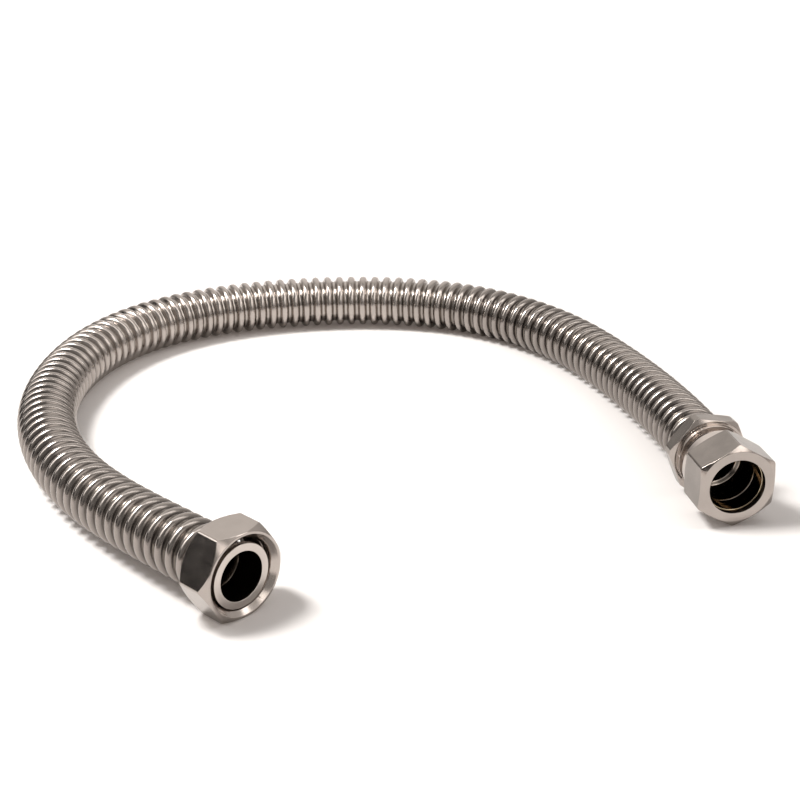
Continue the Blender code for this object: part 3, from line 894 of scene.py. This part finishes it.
# %% [markdown]
# Brass shows at the olive only. The walls of the bores get painted shade, darker copies of the steel and
# the brass, because little light gets in. Each piece told its inner walls from the rest when it was made,
# so the second finish in its list is enough here.

# %% Brass, and the walls of the bores


def olive_brass():
    """Plain turned brass."""
    material, tree, shader = metal("olive_brass", (0.74, 0.61, 0.43), (0.84, 0.71, 0.52))
    rings = noise(tree, turned_coordinates(tree, across=4200.0, around=0.9), 3.0)
    tree.links.new(spread(tree, rings, 0.16, 0.30), shader.inputs["Roughness"])
    bump(tree, shader, rings, 0.00001)
    return material


def shaded_bore_steel():
    """Painted shade: dark steel for the walls inside the tube and the bores."""
    material, tree, shader = metal("shaded_bore_steel", (0.12, 0.104, 0.09), (0.20, 0.175, 0.15))
    rings = noise(tree, turned_coordinates(tree, across=3000.0, around=0.7), 3.0, 0.6)
    shader.inputs["Roughness"].default_value = 0.2
    bump(tree, shader, rings, 0.000012)
    return material


def shaded_bore_brass():
    """Painted shade: darker brass for the olive's inner wall, which the nut shades."""
    material, tree, shader = metal("shaded_bore_brass", (0.46, 0.35, 0.22), (0.56, 0.44, 0.29))
    shader.inputs["Roughness"].default_value = 0.12
    return material


OLIVE_BRASS, SHADED_BORE_STEEL, SHADED_BORE_BRASS = olive_brass(), shaded_bore_steel(), shaded_bore_brass()
hose.data.materials.append(SHADED_BORE_STEEL)
# The tail's outside gets the lighter steel with painted light.
for obj, outside, inside in [(tail, LIT_RING_STEEL, SHADED_BORE_STEEL), (olive, OLIVE_BRASS, SHADED_BORE_BRASS)]:
    obj.data.materials.append(outside)
    obj.data.materials.append(inside)
print("finishes", OLIVE_BRASS.name, SHADED_BORE_STEEL.name, SHADED_BORE_BRASS.name)

# %% [markdown]
# One hexagon piece has several finishes, and each face is told its own by where it is: the flats
# by their distance from the axis, the round collars by their radius. Cutting the piece apart would
# give the same look, but the real nut is one piece.

# %% Flats and turned faces of the hexagons
FLATS_FINISH, POLISHED_SHEEN_FINISH = 2, 3     # their places in a hexagon piece's list
UPRIGHT_FLAT, UPRIGHT_COLLAR = 0.02, 0.2     # lean of a face's normal along the axis, at most
FLAT_SHARE = 0.995                       # a face further out than this share of a flat is on it
COLLAR_WIDTH = 0.0002                    # a face this close to a collar's radius is on it


def finish_hexagon(obj, place, across_flats, flats, polished_sheen_radius=0.0):
    """Gives the flats their finish, a round collar of that radius the lighter steel with painted light, and
    the rest the turned.
    """
    for material in (TURNED_STEEL, SHADED_BORE_STEEL, flats, LIT_RING_STEEL):
        obj.data.materials.append(material)
    outward, origin = place.col[2].to_3d(), place.translation
    count = 0
    for face in obj.data.polygons:
        along = (face.center - origin).dot(outward)
        reach = (face.center - origin - along * outward).length
        lean = abs(face.normal.dot(outward))
        if lean < UPRIGHT_FLAT and reach > FLAT_SHARE * across_flats / 2:
            face.material_index = FLATS_FINISH
            count += 1
        elif abs(reach - polished_sheen_radius) < COLLAR_WIDTH and lean < UPRIGHT_COLLAR:
            face.material_index = POLISHED_SHEEN_FINISH
    return count


print("faces on the flats:", finish_hexagon(swivel_nut, NUT_PLACE, SWIVEL_FLATS, SMOOTH_FLATS),
      finish_hexagon(compression_nut, MOUTH_PLACE, COMPRESSION_FLATS, SHADED_SATIN_FLATS, polished_sheen_radius=COLLAR_RADIUS),
      finish_hexagon(adapter, MOUTH_PLACE, COMPRESSION_FLATS, SHADED_SATIN_FLATS, polished_sheen_radius=ADAPTER_COLLAR_RADIUS))

# %% [markdown]
# ## Floor
#
# The hose lies on a white table, and its shadow stays. Lifting the whole picture would bleach the
# metal, so only the floor is lifted: a glow that the camera sees, and the metal a little, makes the
# table white. It is faint near the hose, where the shadows keep their warm grey, and it grows
# further away, where less of the lamps' light arrives.

# %% Floor
FLOOR_RADIUS = 6.0
TABLE_COLOUR = (0.88, 0.86, 0.85, 1.0)
GLOW_COLOUR = (1.0, 0.82, 0.72, 1.0)
FLOOR_GLOW = (0.08, 1.3)                 # beside the hose, and well away from it
GLOW_EDGES = (0.22, 0.40)                # from the middle to where it starts to grow, and ends
GLOW_IN_METAL = 0.2                      # of the glow shows in the metal


def build_floor():
    """A wide disc with its glow."""
    bm = bmesh.new()
    bmesh.ops.create_circle(bm, cap_ends=True, segments=64, radius=FLOOR_RADIUS)
    floor = mesh_object("floor", bm)
    material = bpy.data.materials.new("white_table")
    material.use_nodes = True
    tree = material.node_tree
    tree.nodes.clear()
    seen = add_node(tree, "ShaderNodeLightPath").outputs
    direct = math_node(tree, "MULTIPLY", seen["Is Glossy Ray"], GLOW_IN_METAL)
    direct = math_node(tree, "ADD", seen["Is Camera Ray"], direct)
    direct = math_node(tree, "ADD", direct, seen["Is Transmission Ray"])
    place = add_node(tree, "ShaderNodeTexCoord").outputs["Object"]
    away = add_node(tree, "ShaderNodeVectorMath", {0: place}, operation="LENGTH").outputs["Value"]
    level = math_node(tree, "MULTIPLY", direct, spread(tree, away, *FLOOR_GLOW, *GLOW_EDGES))
    table = add_node(tree, "ShaderNodeBsdfDiffuse", {"Color": TABLE_COLOUR})
    glow = add_node(tree, "ShaderNodeEmission", {"Color": GLOW_COLOUR, "Strength": level})
    both = add_node(tree, "ShaderNodeAddShader", {0: table.outputs[0], 1: glow.outputs[0]})
    add_node(tree, "ShaderNodeOutputMaterial", {0: both.outputs[0]})
    floor.data.materials.append(material)
    return floor


floor = build_floor()
print("floor", 2 * FLOOR_RADIUS, "m across")

# %% [markdown]
# ## Studio
#
# Polished metal shows the room, so the room is part of its look. The walls are grey, with bright
# patches on both sides and behind, one small and very bright at the right front, and dark ones
# round the place of the camera and low on the left. Modelled walls would do the same, but they
# would shade the table. Here the light depends on the direction of each ray only, and one patch
# after another is laid over the walls' level. Matt surfaces get a small share of it, so that the
# shadows on the table stay as deep as they are under lamps.

# %% Walls of the studio
WALL_LIGHT = 0.39
WALL_FALL = 0.12                         # of the walls' light reaches matt surfaces
WALL_COLOUR = (1.0, 0.955, 0.915, 1.0)
WALL_PATCHES = [                         # direction, degrees to where it starts and has faded, level
    ((0.80, 0.00, 0.60), 15, 38, 0.90),
    ((-0.70, 0.00, 0.71), 12, 32, 1.00),
    ((0.05, 0.87, 0.49), 15, 50, 1.08),
    ((-0.28, -0.96, 0.06), 8, 18, 0.03),
    ((0.00, -0.71, 0.71), 8, 18, 0.28),
    ((-0.40, -0.60, 0.69), 8, 20, 0.20),
    ((0.50, -0.68, 0.53), 8, 18, 2.60),
    ((-0.97, -0.05, 0.22), 17, 28, 0.02),
    ((0.90, 0.10, 0.30), 20, 50, 0.65),
]


def build_world():
    """White to the camera, and a grey room with patches to everything else."""
    world = bpy.data.worlds.new("studio")
    bpy.context.scene.world = world
    world.use_nodes = True
    tree = world.node_tree
    tree.nodes.clear()
    way = add_node(tree, "ShaderNodeTexCoord").outputs["Generated"]
    level = WALL_LIGHT
    for direction, start, end, light in WALL_PATCHES:
        unit = Vector(direction).normalized()
        facing = add_node(tree, "ShaderNodeVectorMath", {0: way, 1: unit}, operation="DOT_PRODUCT")
        share = add_node(tree, "ShaderNodeMapRange", {
            "Value": facing.outputs["Value"], "From Min": math.cos(math.radians(end)),
            "From Max": math.cos(math.radians(start))}, interpolation_type="SMOOTHSTEP").outputs[0]
        level = add_node(tree, "ShaderNodeMix", {0: share, 2: level, 3: light}).outputs[0]
    seen = add_node(tree, "ShaderNodeLightPath").outputs
    level = add_node(tree, "ShaderNodeMix", {
        0: seen["Is Diffuse Ray"], 2: level, 3: math_node(tree, "MULTIPLY", level, WALL_FALL)}).outputs[0]
    room = add_node(tree, "ShaderNodeBackground", {"Color": WALL_COLOUR, "Strength": level})
    white = add_node(tree, "ShaderNodeBackground", {"Color": (1.0, 1.0, 1.0, 1.0), "Strength": 1.0})
    mixed = add_node(tree, "ShaderNodeMixShader", {
        0: seen["Is Camera Ray"], 1: room.outputs[0], 2: white.outputs[0]})
    add_node(tree, "ShaderNodeOutputWorld", {0: mixed.outputs[0]})


build_world()
print("walls with", len(WALL_PATCHES), "patches")

# %% [markdown]
# Two long soft boxes hang over the table, one on either side of the hose. They are narrow from
# front to back, so each draws a thin bright line over every ring. A small strong lamp beside the
# left one casts the shadows, which fall to the right.

# %% Lamps
LAMP_COLOUR = (1.0, 0.98, 0.955)


def add_lamp(name, place, size, power):
    """A rectangular lamp of that size and power, aimed at the origin."""
    data = bpy.data.lights.new(name, "AREA")
    data.shape = "RECTANGLE"
    data.size, data.size_y = size
    data.energy = power
    data.color = LAMP_COLOUR
    lamp = bpy.data.objects.new(name, data)
    lamp.location = place
    lamp.rotation_euler = Vector(place).to_track_quat("Z", "Y").to_euler()
    bpy.context.scene.collection.objects.link(lamp)


add_lamp("left_strip", (-0.675, -0.08, 0.825), (0.32, 1.2), 3.8)
add_lamp("right_strip", (0.465, -0.08, 0.875), (0.28, 1.3), 3.0)
add_lamp("key_lamp", (-0.56, 0.0, 1.00), (0.3, 0.3), 12.3)
